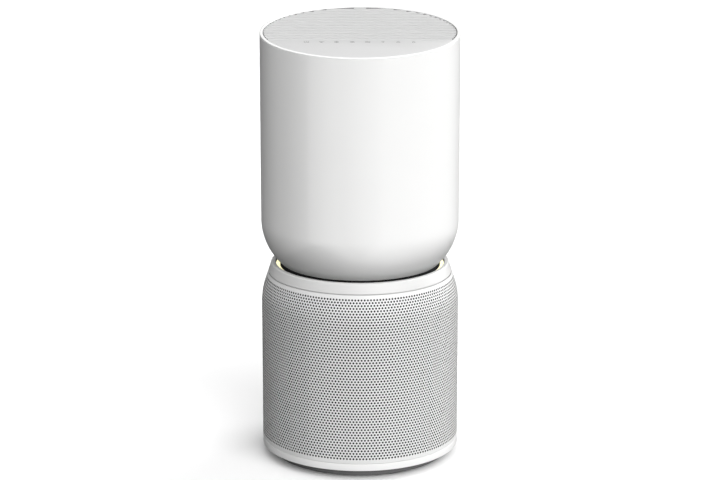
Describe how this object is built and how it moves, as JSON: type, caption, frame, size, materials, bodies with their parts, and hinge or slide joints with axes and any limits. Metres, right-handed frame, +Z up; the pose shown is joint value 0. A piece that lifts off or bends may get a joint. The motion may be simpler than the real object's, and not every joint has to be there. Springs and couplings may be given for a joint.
{
  "type": "air purifier",
  "caption": "Two-drum tower air purifier: smooth white fan head with a sloping grille and touch panel over a perforated filter base with a light ring.",
  "frame": {"origin": "on the floor under the middle of the base", "axes": "+Z up, control panel towards -Y, mains socket towards +Y"},
  "size_m": [0.246, 0.246, 0.5476],
  "materials": {
    "white_shell": "satin",
    "rim_white": "gloss",
    "panel_white": "satin",
    "grille_white": "satin",
    "mesh_white": "matte",
    "neck_black": "matte",
    "light_diffuser": "frosted, lit warm yellow",
    "foot_grey": "matte",
    "inner_grey": "matte",
    "pad_rubber": "matte",
    "filter_paper": "matte, pleated",
    "carbon": "granular",
    "sleeve_mesh": "fine net",
    "gasket_foam": "foam",
    "tab_fabric": "woven",
    "steel": "brushed",
    "winding": "enamelled wire",
    "board_green": "solder mask",
    "part_black": "satin",
    "lead_sleeve": "satin"
  },
  "bodies": {
    "root": {"head_shell": "white_shell", "rim_ring": "rim_white", "control_panel": "panel_white", "outlet_grille": "grille_white", "top_deck": "inner_grey", "control_board": "board_green", "icon_light_guide": "grille_white", "fan_duct": "inner_grey", "motor_dome": "inner_grey", "motor_mount": "steel", "motor_screw_1": "steel", "motor_screw_2": "steel", "motor_screw_3": "steel", "motor_stator": "winding", "motor_board": "board_green", "bearing_lower": "steel", "bearing_upper": "steel", "bellmouth": "inner_grey", "finger_guard": "inner_grey", "power_inlet": "part_black", "inlet_pin_left": "steel", "inlet_pin_right": "steel", "power_bracket": "inner_grey", "power_board": "board_green", "power_transformer": "winding", "power_capacitor": "part_black", "dust_sensor": "steel", "sensor_vent": "white_shell", "panel_lead": "lead_sleeve", "inlet_lead": "lead_sleeve", "neck_ring": "neck_black", "neck_screw_1": "steel", "neck_screw_2": "steel", "neck_screw_3": "steel", "neck_screw_4": "steel", "light_ring": "light_diffuser", "light_board": "board_green", "base_collar": "white_shell", "intake_cover": "mesh_white", "filter_cage": "inner_grey", "bottom_ring": "white_shell", "lock_ledge_1": "inner_grey", "lock_ledge_2": "inner_grey", "lock_ledge_3": "inner_grey"},
    "impeller": {"impeller": "neck_black", "impeller_nut": "steel", "rotor_cup": "steel"},
    "filter": {"filter_media": "filter_paper", "carbon_core": "carbon", "prefilter_sleeve": "sleeve_mesh", "filter_top_cap": "inner_grey", "filter_bottom_cap": "inner_grey", "filter_gasket": "gasket_foam", "filter_pull_tab": "tab_fabric"},
    "filter_seat": {"filter_seat": "inner_grey"},
    "base_cover": {"base_cover": "foot_grey", "rubber_pad_1": "pad_rubber", "rubber_pad_2": "pad_rubber", "rubber_pad_3": "pad_rubber", "rubber_pad_4": "pad_rubber"}
  },
  "joints": [
    {"name": "impeller_spin", "type": "hinge", "parent": "root", "child": "impeller", "pos_m": [0, 0, 0.32], "axis": [0, 0, 1], "continuous": true},
    {"name": "filter_drop", "type": "slide", "parent": "root", "child": "filter", "axis": [0, 0, -1], "range_m": [0, 0.24]},
    {"name": "cover_drop", "type": "slide", "parent": "filter", "child": "filter_seat", "axis": [0, 0, -1], "range_m": [0, 0.06]},
    {"name": "cover_turn", "type": "hinge", "parent": "filter_seat", "child": "base_cover", "pos_m": [0, 0, 0.014], "axis": [0, 0, 1], "range_deg": [-30, 0]}
  ]
}
